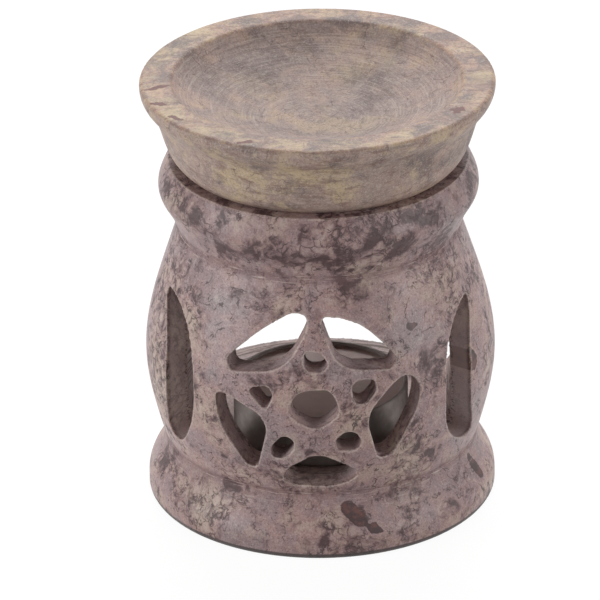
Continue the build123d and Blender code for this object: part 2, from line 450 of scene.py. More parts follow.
def nearest_mark(shader: Shader, skin: Link, marks: tuple[Mark, ...]) -> Link:
    """Distance to the nearest of some marks, where 1 is its outline.

    Args:
        shader: The shader that is being built.
        skin: Place on the surface, in the marks' own millimetres.
        marks: The marks that count.

    Returns:
        The distance in shares of the mark's own size.
    """
    nearest: Optional[Link] = None
    for mark in marks:
        inputs = {
            "Vector": skin,
            "Location": (mark.across, mark.up, 0.0),
            "Rotation": (0.0, 0.0, math.radians(mark.tilt_deg)),
            "Scale": (mark.half_length, mark.half_width, FLAT),
        }
        local = shader.node("ShaderNodeMapping", {"vector_type": "TEXTURE"}, inputs)
        far = shader.node("ShaderNodeVectorMath", {"operation": "LENGTH"}, {0: local}, "Value")
        nearest = far if nearest is None else nearest.lowest(far)
    return nearest


@dataclass(frozen=True)
class StandStone:
    """Mauve-grey soapstone of the stand: cloudy, smudged with dark mineral and worn smooth to a satin finish.
    """

    name: str = "stand_soapstone"
    ash: Colour = tone(150, 133, 134)
    mauve: Colour = tone(161, 135, 136)
    pink: Colour = tone(175, 143, 138)
    beige: Colour = tone(188, 166, 152)
    grey: Colour = tone(120, 100, 102)
    haze: Colour = tone(108, 80, 82)
    vein: Colour = tone(56, 41, 44)
    smudge: Colour = tone(68, 45, 47)
    rust: Colour = tone(106, 70, 64)
    rust_edge: Colour = tone(68, 48, 49)
    fleck: Colour = tone(206, 189, 182)
    # Light stone of worn edges and scratches, also a painted highlight on convex edges.
    rubbed_and_highlight: Colour = tone(216, 198, 188)
    # Paler unpolished stone of the cuts, also used as painted light inside the chamber.
    unpolished_and_lit: Colour = tone(172, 156, 152)
    groove: Colour = tone(88, 71, 64)
    # Colour of the painted shadow along the sole's edge.
    sole_shadow: Colour = tone(58, 50, 50)
    star_height_mm: float = 34.0
    star_mm: Span = (25.0, 18.0)
    collar_mm: Span = (61.0, 69.0)
    slot_mm: Span = (20.0, 26.0)
    floor_mm: Span = (16.6, 15.8)
    sill_low_mm: Span = (16.3, 16.8)
    sill_high_mm: Span = (18.6, 17.6)
    sill_back_mm: Span = (12.0, 16.0)
    sole_shadow_mm: Span = (1.7, 1.35)
    grain_depth: float = 0.00006
    score_depth: float = 0.0001

    def ground(self, shader: Shader, place: Link, slow: Link) -> Link:
        """Colour of the stone under its veins and smudges.

        Args:
            shader: The shader that is being built.
            place: Place on the piece in millimetres.
            slow: The same place, pushed about slowly.

        Returns:
            The colour.
        """
        patches = shader.noise(slow, 0.07, 8.0, 0.68)
        stops = [(0.36, self.ash), (0.46, self.mauve), (0.54, self.pink), (0.64, self.beige)]
        paint = shader.ramp(patches, stops)
        clouds = shader.noise(shader.drift(slow, 0.4, 3.0), 0.12, 10.0, 0.72)
        paint = shader.mix(clouds.span(0.51, 0.68) * 0.6, paint, self.grey)
        paint = shader.mix(clouds.span(0.47, 0.33) * 0.6, paint, self.beige)
        mottle = shader.noise(place, 0.45, 7.0, 0.76)
        paint = shader.mix(mottle.span(0.53, 0.72) * 0.55, paint, self.grey)
        paint = shader.mix(mottle.span(0.48, 0.3) * 0.5, paint, self.fleck)
        grain = shader.noise(place, 2.6, 4.0, 0.72)
        paint = shader.mix(grain.span(0.52, 0.72) * 0.75, paint, self.fleck)
        return shader.mix(grain.span(0.48, 0.28) * 0.75, paint, self.smudge)

    def material(self) -> bpy.types.Material:
        """Build the stone.

        Returns:
            The material.
        """
        shader = new_material(self.name)
        place = shader.place()
        slow = shader.drift(place, 0.06, 12.0)
        crazed = shader.drift(shader.drift(place, 0.1, 7.0), 0.45, 2.4, 4.0)
        x, y, z = shader.parts(place)
        upper = z.span(*self.collar_mm)
        paint = shader.mix(upper * 0.2, self.ground(shader, place, slow), self.grey)

        gather = (shader.noise(slow, 0.065, 6.0, 0.62) + upper * 0.04).span(0.47, 0.57)
        weight = shader.noise(place, 0.45, 5.0, 0.66).span(0.4, 0.58)
        thread = abs(shader.noise(slow, 0.13, 5.0, 0.56) - 0.5)
        branch = abs(shader.noise(crazed, 0.26, 4.0, 0.54) - 0.5)
        cells = shader.cracks(crazed, 0.36)
        veins = thread.span(0.013, 0.003) * weight
        veins = veins.highest(branch.span(0.024, 0.006) * gather * weight)
        veins = veins.highest(cells.span(0.06, 0.01) * gather * weight)
        cloudy = branch.span(0.1, 0.0) * gather
        paint = shader.mix(cells.span(0.08, 0.3) * gather * 0.3, paint, self.fleck)

        across = x.math("ARCTAN2", x, 0 - y) * SKIN_RADIUS_MM
        unrolled = shader.point(across - WANDER_MM / 2, z - WANDER_MM / 2, 0.0)
        above = z - self.star_height_mm
        from_star = x.math("SQRT", across * across + above * above)
        skin = shader.drift(unrolled, 0.5, WANDER_MM, 6.0)
        near = nearest_mark(shader, skin, STAND_MARKS[MarkKind.SMUDGE]).span(2.2, 0.2)
        bloom = shader.noise(crazed, 0.24, 10.0, 0.68)
        dark = bloom + near * 0.12 + cloudy * 0.07 + (gather - 0.5) * 0.07 + upper * 0.02
        dark = dark + from_star.span(*self.star_mm) * 0.035
        specks = shader.noise(place, 0.9, 4.0, 0.62).span(0.65, 0.71)
        core = dark.span(0.61, 0.7).highest(specks * 0.85)
        paint = shader.mix(dark.span(0.51, 0.63) * 0.6, paint, self.haze)
        paint = shader.mix(veins * 0.85, paint, self.vein)
        paint = shader.mix(core * 0.85, paint, self.smudge)

        chipped = shader.drift(unrolled, 0.45, WANDER_MM, 3.0)
        rusts = nearest_mark(shader, chipped, STAND_MARKS[MarkKind.RUST])
        ores = shader.noise(place, 0.35, 3.0, 0.6)
        rust = shader.mix(ores.span(0.42, 0.56), self.rust, self.rust_edge)
        rust = shader.mix(rusts.span(0.6, 0.95) * 0.7, rust, self.rust_edge)
        paint = shader.mix(rusts.span(1.08, 0.96), paint, rust)

        edge_wear_and_highlight = shader.carried("edge_wear_and_highlight")
        crease = shader.carried("crease")
        hollow = shader.carried("hollow")
        inside = shader.carried("inside")
        radius = x.math("SQRT", x * x + y * y)
        scores = shader.noise(shader.point(x / 9, radius * 1.3, z * 1.6), 1.0, 6.0, 0.7)
        # Partly the paler unpolished stone of the cuts, partly painted light: cut walls, slot walls and most
        # of all the chamber floor are lightened for the light that reaches inside.
        aside = abs(across).span(*self.slot_mm)
        deep = z.span(*self.floor_mm)
        pale = hollow * (0.35 + 0.55 * aside) + inside * (0.1 + 0.9 * deep)
        paint = shader.mix(pale, paint, self.unpolished_and_lit, "SCREEN")
        paint = shader.mix(scores.span(0.47, 0.6) * inside * (0.75 - 0.6 * deep), paint, self.groove)
        sill = z.span(*self.sill_low_mm) * z.span(*self.sill_high_mm) * y.span(*self.sill_back_mm)
        paint = shader.mix(sill * (0.4 + 0.55 * scores.span(0.46, 0.58)), paint, self.groove)
        scratches = shader.noise(shader.point(x / 7, y / 7, z * 3.4), 1.0, 5.0, 0.7)
        # Painted shade: the outside is darkened along its concave creases, such as the waist groove.
        skin_crease = crease * (1 - hollow)
        paint = shader.mix(skin_crease * 0.45, paint, self.haze)
        paint = shader.mix(scratches.span(0.56, 0.64) * skin_crease * 0.75, paint, self.rubbed_and_highlight)
        grain = shader.noise(place, 2.6, 4.0, 0.72)
        # Painted highlight, partly: convex edges are lightened, as worn stone and as edges that catch the
        # light.
        paint = shader.mix(edge_wear_and_highlight * (0.3 + 0.7 * grain.span(0.35, 0.6)) * 0.6, paint, self.rubbed_and_highlight)
        # Painted shadow: the lowest millimetre and a half of the foot is darkened for the shade under the
        # rounded sole edge.
        paint = shader.mix((z + bloom * 0.3).span(*self.sole_shadow_mm) * 0.9, paint, self.sole_shadow)

        rough = 0.42 + (grain - 0.5) * 0.2 + veins * 0.08 + hollow * 0.3 + crease * 0.12
        relief = grain * 0.6 - veins * 0.5 - core * 0.25
        normal = shader.bump(relief, self.grain_depth)
        normal = shader.bump(scores * crease.highest(inside).highest(0.1), self.score_depth, normal)
        return shader.finish(Base_Color=paint, Roughness=rough, Normal=normal, IOR=1.45)


@dataclass(frozen=True)
class DishStone:
    """Beige-grey soapstone of the dish, with the turning tool's rings left in the bowl."""

    name: str = "dish_soapstone"
    grey: Colour = tone(160, 144, 140)
    mauve: Colour = tone(174, 154, 149)
    sand: Colour = tone(204, 181, 146)
    pink: Colour = tone(192, 165, 151)
    warm: Colour = tone(172, 146, 130)
    tan: Colour = tone(128, 102, 93)
    earth: Colour = tone(148, 123, 113)
    blush: Colour = tone(184, 146, 127)
    straw: Colour = tone(202, 173, 138)
    ash: Colour = tone(140, 124, 120)
    shade: Colour = tone(108, 94, 92)
    thread: Colour = tone(104, 88, 90)
    brown: Colour = tone(124, 92, 82)
    cream: Colour = tone(220, 202, 172)
    fleck: Colour = tone(216, 203, 192)
    # Light stone of worn edges, also a painted highlight on convex edges.
    rubbed_and_highlight: Colour = tone(212, 196, 180)
    rust: Colour = tone(100, 56, 52)
    shine: float = 0.36
    ring_depth: float = 0.00009
    grain_depth: float = 0.00006

    def land_height(self, shader: Shader, place: Link) -> Link:
        """1 at the height of the rim's flat land."""
        top_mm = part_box("oil_dish")[1].z / MM
        return shader.parts(place)[2].span(top_mm - 0.9, top_mm - 0.3)

    def ground(self, shader: Shader, place: Link, flat: Link, outside: Link, land: Link) -> Link:
        """Colour of the stone under its threads and rings.

        Args:
            shader: The shader that is being built.
            place: Place on the piece in millimetres.
            flat: Place as seen from above.
            outside: 1 outside the bowl.
            land: 1 on the rim's flat land.

        Returns:
            The colour.
        """
        slow = shader.drift(place, 0.07, 12.0)
        tangle = shader.drift(slow, 0.5, 3.0, 5.0)
        patches = shader.noise(slow, 0.1, 8.0, 0.68)
        stops = [(0.36, self.grey), (0.5, self.mauve), (0.62, self.pink), (0.74, self.sand)]
        paint = shader.mix(outside * 0.4, shader.ramp(patches, stops), self.warm)
        blotches = shader.noise(tangle, 0.2, 7.0, 0.68)
        stops = [(0.38, self.tan), (0.45, self.earth), (0.52, self.blush)]
        stops += [(0.59, self.straw), (0.68, self.ash)]
        paint = shader.mix(land * 0.8, paint, shader.ramp(blotches, stops))
        cream = nearest_mark(shader, flat, DISH_MARKS[MarkKind.CREAM]).span(2.0, 0.2)
        gold = shader.noise(tangle, 0.12, 8.0, 0.68) + cream * 0.14
        paint = shader.mix(gold.span(0.52, 0.7) * (0.45 + 0.4 * outside), paint, self.sand)
        # Partly painted shade: clouds at the back of the bowl stand in for its shaded back wall; the others
        # are the stone's own.
        smudge_and_bowl_shade = nearest_mark(shader, flat, DISH_MARKS[MarkKind.SMUDGE]).span(2.2, 0.2)
        clouds = shader.noise(tangle, 0.11, 10.0, 0.72) + smudge_and_bowl_shade * (0.05 + 0.06 * outside)
        paint = shader.mix(clouds.span(0.48, 0.68) * (0.65 + 0.25 * outside), paint, self.shade)
        mottle = shader.noise(place, 0.9, 6.0, 0.76)
        paint = shader.mix(mottle.span(0.52, 0.7) * 0.6, paint, self.shade)
        return shader.mix(mottle.span(0.47, 0.3) * 0.45, paint, self.fleck)

    def material(self) -> bpy.types.Material:
        """Build the stone.

        Returns:
            The material.
        """
        shader = new_material(self.name)
        place = shader.place()
        x, y, z = shader.parts(place)
        radius = x.math("SQRT", x * x + y * y)
        bowl = shader.carried("bowl")
        edge_wear_and_highlight = shader.carried("edge_wear_and_highlight")
        outside = 1 - bowl
        plan = shader.point(x - WANDER_MM / 2, y - WANDER_MM / 2, 0.0)
        flat = shader.drift(plan, 0.5, WANDER_MM, 6.0)
        land = outside * self.land_height(shader, place)
        paint = self.ground(shader, place, flat, outside, land)

        crazed = shader.drift(place, 0.45, 2.4, 6.0)
        broken = shader.noise(place, 0.25, 6.0, 0.68).span(0.48, 0.62)
        threads = shader.cracks(crazed, 0.25).span(0.035, 0.006) * broken
        paint = shader.mix(threads * 0.75, paint, self.thread)
        bedding = shader.noise(shader.drift(shader.point(x / 9, y / 1.8, z / 1.8), 0.6, 1.0), 1.0, 7.0, 0.72)
        paint = shader.mix(bedding.span(0.51, 0.64) * outside * 0.6, paint, self.brown)
        paint = shader.mix(bedding.span(0.43, 0.33) * outside * 0.4, paint, self.cream)
        ragged = shader.noise(place, 0.8, 5.0, 0.7)
        rusts = nearest_mark(shader, flat, DISH_MARKS[MarkKind.RUST]) + (ragged - 0.5) * 1.8
        specks = shader.noise(place, 0.7, 5.0, 0.66).span(0.66, 0.72)
        rust = rusts.span(1.2, 0.9) * land

        turn = shader.point(x / radius * 2.5, y / radius * 2.5, radius * 3.4)
        rings = shader.noise(turn, 1.0, 5.0, 0.74)
        paint = shader.mix(rings.span(0.52, 0.64) * bowl * 0.36, paint, self.shade)
        paint = shader.mix(rings.span(0.47, 0.36) * bowl * 0.42, paint, self.fleck)
        side_turn = shader.point(x / radius * 2.5, y / radius * 2.5, z * 1.2)
        side_rings = shader.noise(side_turn, 1.0, 6.0, 0.7)
        paint = shader.mix(side_rings.span(0.52, 0.68) * outside * 0.45, paint, self.shade)

        grain = shader.noise(place, 2.6, 4.0, 0.72)
        paint = shader.mix(grain.span(0.52, 0.72) * 0.65, paint, self.fleck)
        paint = shader.mix(grain.span(0.48, 0.28) * 0.65, paint, self.shade)
        paint = shader.mix(rust.highest(specks * 0.35) * 0.92, paint, self.rust)
        # Painted highlight, partly: convex rim edges are lightened, as worn stone and as edges that catch the
        # light.
        paint = shader.mix(edge_wear_and_highlight * grain.span(0.35, 0.62) * 0.3, paint, self.rubbed_and_highlight)

        rough = 0.52 + (grain - 0.5) * 0.2 + bowl * 0.14
        normal = shader.bump(grain * 0.6 - threads * 0.4, self.grain_depth)
        normal = shader.bump(rings * bowl + side_rings * outside * 0.3, self.ring_depth, normal)
        return shader.finish(
            Base_Color=paint, Roughness=rough, Normal=normal, IOR=1.45, Specular_IOR_Level=self.shine
        )


@dataclass(frozen=True)
class DrawnFoil:
    """Dull aluminium of the pressed cup, with faint lines where it was drawn."""

    name: str = "drawn_foil"
    bright: Colour = tone(156, 147, 142)
    dull: Colour = tone(136, 127, 122)

    def material(self) -> bpy.types.Material:
        """Build the foil."""
        shader = new_material(self.name)
        place = shader.place()
        x, y, z = shader.parts(place)
        lines = shader.noise(shader.point(x * 0.6, y * 0.6, z * 5), 1.0, 5.0, 0.6)
        haze = shader.noise(place, 0.25, 5.0, 0.6)
        paint = shader.mix(haze.span(0.35, 0.65), self.bright, self.dull)
        rough = 0.72 + (lines - 0.5) * 0.2 + haze.span(0.4, 0.7) * 0.1
        normal = shader.bump(lines, 0.00003)
        return shader.finish(Base_Color=paint, Roughness=rough, Metallic=0.2, Normal=normal)


@dataclass(frozen=True)
class PouredWax:
    """Muted mauve candle wax, frosted where it cooled."""

    name: str = "poured_wax"
    body: Colour = tone(190, 166, 160)
    frost: Colour = tone(206, 184, 178)

    def material(self) -> bpy.types.Material:
        """Build the wax."""
        shader = new_material(self.name)
        place = shader.place()
        frost = shader.noise(shader.drift(place, 0.4, 2.0), 0.5, 7.0, 0.65)
        dimple = shader.noise(place, 0.3, 3.0, 0.5)
        paint = shader.mix(frost.span(0.45, 0.7) * 0.7, self.body, self.frost)
        rough = 0.55 + frost.span(0.4, 0.7) * 0.2
        normal = shader.bump(dimple * 0.7 + frost * 0.3, 0.0001)
        return shader.finish(
            Base_Color=paint, Roughness=rough, Normal=normal, Specular_IOR_Level=0.4, Subsurface_Weight=0.15,
            Subsurface_Scale=0.002,
        )


@dataclass(frozen=True)
class WaxedCotton:
    """Off-white cotton of the wick, stiff with wax."""

    name: str = "waxed_cotton"
    clean: Colour = tone(214, 208, 194)
    shade: Colour = tone(168, 158, 142)

    def material(self) -> bpy.types.Material:
        """Build the cotton."""
        shader = new_material(self.name)
        place = shader.place()
        fibre = shader.noise(place, 6.0, 5.0, 0.7)
        paint = shader.mix(fibre.span(0.4, 0.65), self.clean, self.shade)
        rough = 0.62 + (fibre - 0.5) * 0.3
        return shader.finish(Base_Color=paint, Roughness=rough, Normal=shader.bump(fibre, 0.00005))


@dataclass(frozen=True)
class TinnedSheet:
    """Bright tinned steel of the wick's sustainer."""

    name: str = "tinned_sheet"
    bright: Colour = tone(190, 190, 192)
    stained: Colour = tone(150, 150, 154)

    def material(self) -> bpy.types.Material:
        """Build the sheet."""
        shader = new_material(self.name)
        place = shader.place()
        crystals = shader.noise(place, 0.8, 5.0, 0.6)
        paint = shader.mix(crystals.span(0.4, 0.65), self.bright, self.stained)
        rough = 0.3 + crystals * 0.15
        normal = shader.bump(crystals, 0.00002)
        return shader.finish(Base_Color=paint, Roughness=rough, Metallic=1.0, Normal=normal)


class MeshWork:
    """Positions and neighbours of a mesh as arrays, for work on all points at once."""

    def __init__(self, mesh: bpy.types.Mesh) -> None:
        """Read a mesh."""
        self.mesh = mesh
        self.count = len(mesh.vertices)
        ends = np.empty(len(mesh.edges) * 2, np.int64)
        mesh.edges.foreach_get("vertices", ends)
        first, second = ends.reshape(-1, 2).T
        self.tails = np.concatenate((first, second))
        self.heads = np.concatenate((second, first))
        self.degree = np.maximum(np.bincount(self.tails, minlength=self.count), 1)
        self.points = np.empty(self.count * 3, np.float64)
        mesh.vertices.foreach_get("co", self.points)
        self.points = self.points.reshape(-1, 3)

    def around(self, values: np.ndarray) -> np.ndarray:
        """Mean of each point's neighbours.

        Args:
            values: One number or one row for each point.

        Returns:
            The means, in the same shape.
        """
        if values.ndim == 1:
            return np.bincount(self.tails, values[self.heads], self.count) / self.degree
        return np.stack([self.around(column) for column in values.T], 1)

    def smooth(self, rounds: int, pull: float = 0.6, push: float = -0.62) -> None:
        """Smooth the points without shrinking the form.

        Args:
            rounds: How often each pair of steps is taken.
            pull: Share of the way that a point goes to its neighbours' mean.
            push: Share that it then goes back.
        """
        for _ in range(rounds):
            for step in (pull, push):
                self.points += step * (self.around(self.points) - self.points)

    def store(self) -> None:
        """Write the points back to the mesh."""
        self.points[:, 2] = np.maximum(self.points[:, 2], 0)
        self.mesh.vertices.foreach_set("co", self.points.astype(np.float32).ravel())
        self.mesh.update()

    def normals(self) -> np.ndarray:
        """Normals of the stored mesh, one row for each point."""
        found = np.empty(self.count * 3, np.float32)
        self.mesh.vertex_normals.foreach_get("vector", found)
        return found.reshape(-1, 3).astype(np.float64)

    def bend(self) -> np.ndarray:
        """How sharply the surface bends at each point, per millimetre; an outer edge is positive."""
        offset = self.around(self.points) - self.points
        reach = self.around_distance()
        return -np.sum(offset * self.normals(), 1) / reach**2 * 2 * MM

    def around_distance(self) -> np.ndarray:
        """Mean distance from each point to its neighbours."""
        gaps = np.linalg.norm(self.points[self.heads] - self.points[self.tails], axis=1)
        return np.bincount(self.tails, gaps, self.count) / self.degree

    def wave(self, size: float, seed: float) -> np.ndarray:
        """Smooth noise at each point, from about -1 to 1.

        Args:
            size: Length of a wave in metres.
            seed: Shifts the noise, so that each use differs.

        Returns:
            The noise.
        """
        shift = Vector((seed, seed * 0.7, -seed))
        return np.array([noise.noise(Vector(point) / size + shift) for point in self.points])

    def carry(self, name: str, values: np.ndarray) -> None:
        """Store one number for each point under a name.

        Args:
            name: The name that a shader reads.
            values: The numbers.
        """
        held = self.mesh.attributes.new(name, "FLOAT", "POINT")
        held.data.foreach_set("value", values.astype(np.float32))


def eased(values: np.ndarray, start: float, end: float) -> np.ndarray:
    """Rise smoothly from 0 to 1 between two values.

    Args:
        values: Any numbers.
        start: Value that gives 0.
        end: Value that gives 1.

    Returns:
        The eased shares.
    """
    share = np.clip((values - start) / (end - start), 0, 1)
    return share * share * (3 - 2 * share)


def even_copy(node: str, name: str, grid: float) -> bpy.types.Object:
    """Copy a solid of the frame into a new piece with an even mesh.

    Args:
        node: The solid's name.
        name: The new piece's name.
        grid: Size of its faces in metres.

    Returns:
        The new piece.
    """
    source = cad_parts[node].data.copy()
    welded = bmesh.new()
    welded.from_mesh(source)
    bmesh.ops.remove_doubles(welded, verts=welded.verts, dist=grid * 0.002)
    welded.to_mesh(source)
    welded.free()
    piece = bpy.data.objects.new(name, source)
    bpy.context.scene.collection.objects.link(piece)
    remesh = piece.modifiers.new("even_grid", "REMESH")
    remesh.mode = "VOXEL"
    remesh.voxel_size = grid
    remesh.use_smooth_shade = True
    depsgraph = bpy.context.evaluated_depsgraph_get()
    made = bpy.data.meshes.new_from_object(piece.evaluated_get(depsgraph))
    piece.modifiers.clear()
    piece.data = made
    made.materials.clear()
    bpy.data.meshes.remove(source)
    return piece


def settle(piece: bpy.types.Object, node: str, body: str, finish: bpy.types.Material) -> None:
    """Dress a piece and hand it to the frame in place of a solid.

    Args:
        piece: The finished piece.
        node: The solid that it stands for.
        body: The body that it moves with.
        finish: Its material.
    """
    piece.data.materials.clear()
    piece.data.materials.append(finish)
    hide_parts(node)
    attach(piece, body)
    log.info("%s: %d faces on %s", piece.name, len(piece.data.polygons), body)


@dataclass
class CarvedStand:
    """The stand: foot, pierced belly, neck and collar, carved from one block."""

    grid: float = 0.0003
    smooth_rounds: int = 2
    edge_start: float = 0.25
    edge_full: float = 0.8
    crease_start: float = 0.03
    crease_full: float = 0.15
    crease_spread: int = 12
    skin_step: float = 0.0005
    hollow_start: float = 0.0004
    hollow_full: float = 0.0016
    inside_start: float = 0.0043
    inside_full: float = 0.0052
    flat_margin: float = 0.0007
    waist_height: float = 0.014
    waist_half: float = 0.00055
    waist_depth: float = 0.00028
    waist_wave: float = 0.009
    foot_guard: float = 0.004
    top_guard: float = 0.002
    crease_gain: float = 2.2
    chip_size: float = 0.0026
    chip_depth: float = 0.0001
    hand_size: float = 0.011
    hand_depth: float = 0.00005

    def below_skin(self, work: MeshWork) -> np.ndarray:
        """Depth of each point below the turned outside, in metres.

        Args:
            work: The stand's mesh.

        Returns:
            The depths, zero on the outside and on the flat top and sole.
        """
        radius = np.hypot(work.points[:, 0], work.points[:, 1])
        height = work.points[:, 2]
        level = np.floor(height / self.skin_step).astype(int)
        level -= level.min()
        skin = np.zeros(level.max() + 1)
        np.maximum.at(skin, level, radius)
        depth = skin[level] - radius
        low, high = height.min(), height.max()
        flat = (height > high - self.flat_margin) | (height < low + self.flat_margin)
        depth[flat] = 0
        return depth

    def build(self) -> bpy.types.Object:
        """Make the mesh with its softened edges and the groove at the waist.

        Returns:
            The piece, carrying at its points a convex-edge mask (worn edges and painted highlight), crease,
            hollow and inside.
        """
        piece = even_copy("burner_body", "carved_stand", self.grid)
        work = MeshWork(piece.data)
        work.smooth(self.smooth_rounds)
        work.store()
        depth = self.below_skin(work)
        hollow = eased(depth, self.hollow_start, self.hollow_full)
        inside = eased(depth, self.inside_start, self.inside_full)
        edge_wear_and_highlight = eased(work.bend(), self.edge_start, self.edge_full)
        height = work.points[:, 2]
        waist = np.exp(-(((height - self.waist_height) / self.waist_half) ** 2)) * (1 - hollow)
        waist *= 0.75 + 0.25 * work.wave(self.waist_wave, 7.0)
        top = height.max()
        rests = eased(height, 0, self.foot_guard) * eased(-height, -top, -top + self.top_guard)
        chips = edge_wear_and_highlight * np.clip(work.wave(self.chip_size, 3.0) - 0.1, 0, 1) * self.chip_depth
        hand = (0.5 + 0.5 * work.wave(self.hand_size, 11.0)) * self.hand_depth
        sunk = (chips * 2 + hand) * rests + waist * self.waist_depth
        work.points -= work.normals() * sunk[:, None]
        work.store()
        edge_wear_and_highlight = eased(work.bend(), self.edge_start, self.edge_full)
        crease = eased(-work.bend(), self.crease_start, self.crease_full)
        for _ in range(self.crease_spread):
            crease = work.around(crease)
        work.carry("edge_wear_and_highlight", edge_wear_and_highlight)
        work.carry("crease", np.clip(crease * self.crease_gain, 0, 1))
        work.carry("hollow", hollow)
        work.carry("inside", inside)
        return piece

    def dress(self) -> None:
        """Build the stand and hand it to the frame."""
        settle(self.build(), "burner_body", "stand", StandStone().material())


@dataclass
class TurnedDish:
    """The oil dish: a thick turned bowl with a flat rim."""

    grid: float = 0.0004
    smooth_rounds: int = 5
    bowl_radius: float = 0.0312
    lip_ease: float = 0.0006
    up_facing: float = 0.25
    seat_drop: float = 0.018
    seat_guard: float = 0.003
    chip_size: float = 0.0032
    hand_size: float = 0.013
    edge_start: float = 0.3
    edge_full: float = 1.0
    chip_depth: float = 0.0001
    hand_depth: float = 0.00006

    def build(self) -> bpy.types.Object:
        """Make the mesh with its softened edges.

        Returns:
            The piece, carrying at its points bowl and a convex-edge mask (worn edges and painted highlight).
        """
        piece = even_copy("oil_dish", "turned_dish", self.grid)
        work = MeshWork(piece.data)
        work.smooth(self.smooth_rounds)
        work.store()
        edge_wear_and_highlight = eased(work.bend(), self.edge_start, self.edge_full)
        height = work.points[:, 2]
        seat = height.max() - self.seat_drop
        rests = eased(height, seat, seat + self.seat_guard)
        chips = edge_wear_and_highlight * np.clip(work.wave(self.chip_size, 5.0) - 0.1, 0, 1) * self.chip_depth
        hand = (0.5 + 0.5 * work.wave(self.hand_size, 23.0)) * self.hand_depth
        work.points -= work.normals() * ((chips * 2 + hand) * rests)[:, None]
        work.store()
        radius = np.hypot(work.points[:, 0], work.points[:, 1])
        facing_up = eased(work.normals()[:, 2], 0.0, self.up_facing)
        bowl = facing_up * eased(-radius, -self.bowl_radius, -self.bowl_radius + self.lip_ease)
        work.carry("bowl", bowl)
        work.carry("edge_wear_and_highlight", work.around(work.around(edge_wear_and_highlight)))
        return piece

    def dress(self) -> None:
        """Build the dish and hand it to the frame."""
        settle(self.build(), "oil_dish", "dish", DishStone().material())


def arc(across: float, up: float, radius: float, start: float, end: float, steps: int) -> Profile:
    """Points along an arc of a profile.

    Args:
        across: Distance of the arc's centre from the axis.
        up: Height of the centre.
        radius: The arc's radius.
        start: First angle in degrees, from the outward direction.
        end: Last angle in degrees.
        steps: Number of parts.

    Returns:
        The points, both ends included.
    """
    points = []
    for step in range(steps + 1):
        angle = math.radians(start + (end - start) * step / steps)
        points.append((across + radius * math.cos(angle), up + radius * math.sin(angle)))
    return points


def finished(made: bmesh.types.BMesh, name: str, sharp_deg: float) -> bpy.types.Object:
    """Turn worked faces into a piece.

    Args:
        made: The faces, which are freed.
        name: The piece's name.
        sharp_deg: Edges that bend by more degrees than this stay sharp.

    Returns:
        The piece, shaded smooth.
    """
    mesh = bpy.data.meshes.new(name)
    made.to_mesh(mesh)
    made.free()
    mesh.polygons.foreach_set("use_smooth", [True] * len(mesh.polygons))
    mesh.set_sharp_from_angle(angle=math.radians(sharp_deg))
    piece = bpy.data.objects.new(name, mesh)
    bpy.context.scene.collection.objects.link(piece)
    return piece


def turned(name: str, profile: Profile, middle: Vector, around: int) -> bpy.types.Object:
    """Turn a closed profile into a piece.

    Args:
        name: The piece's name.
        profile: Radius and height of each point above the middle, in order round the section.
        middle: A point on the axis.
        around: Number of faces round the axis.

    Returns:
        The piece, shaded smooth with its sharp edges kept.
    """
    made = bmesh.new()
    rings = []
    for radius, height in profile:
        if radius < 1e-7:
            rings.append([made.verts.new((middle.x, middle.y, middle.z + height))])
            continue
        ring = []
        for step in range(around):
            angle = 2 * math.pi * step / around
            x = middle.x + radius * math.cos(angle)
            y = middle.y + radius * math.sin(angle)
            ring.append(made.verts.new((x, y, middle.z + height)))
        rings.append(ring)
    for ring, upper in zip(rings, rings[1:] + rings[:1]):
        if len(ring) == 1 and len(upper) == 1:
            continue
        for step in range(around):
            after = (step + 1) % around
            corners = [ring[step % len(ring)], ring[after % len(ring)]]
            corners += [upper[after % len(upper)], upper[step % len(upper)]]
            made.faces.new(list(dict.fromkeys(corners)))
    bmesh.ops.recalc_face_normals(made, faces=made.faces)
    return finished(made, name, 40)


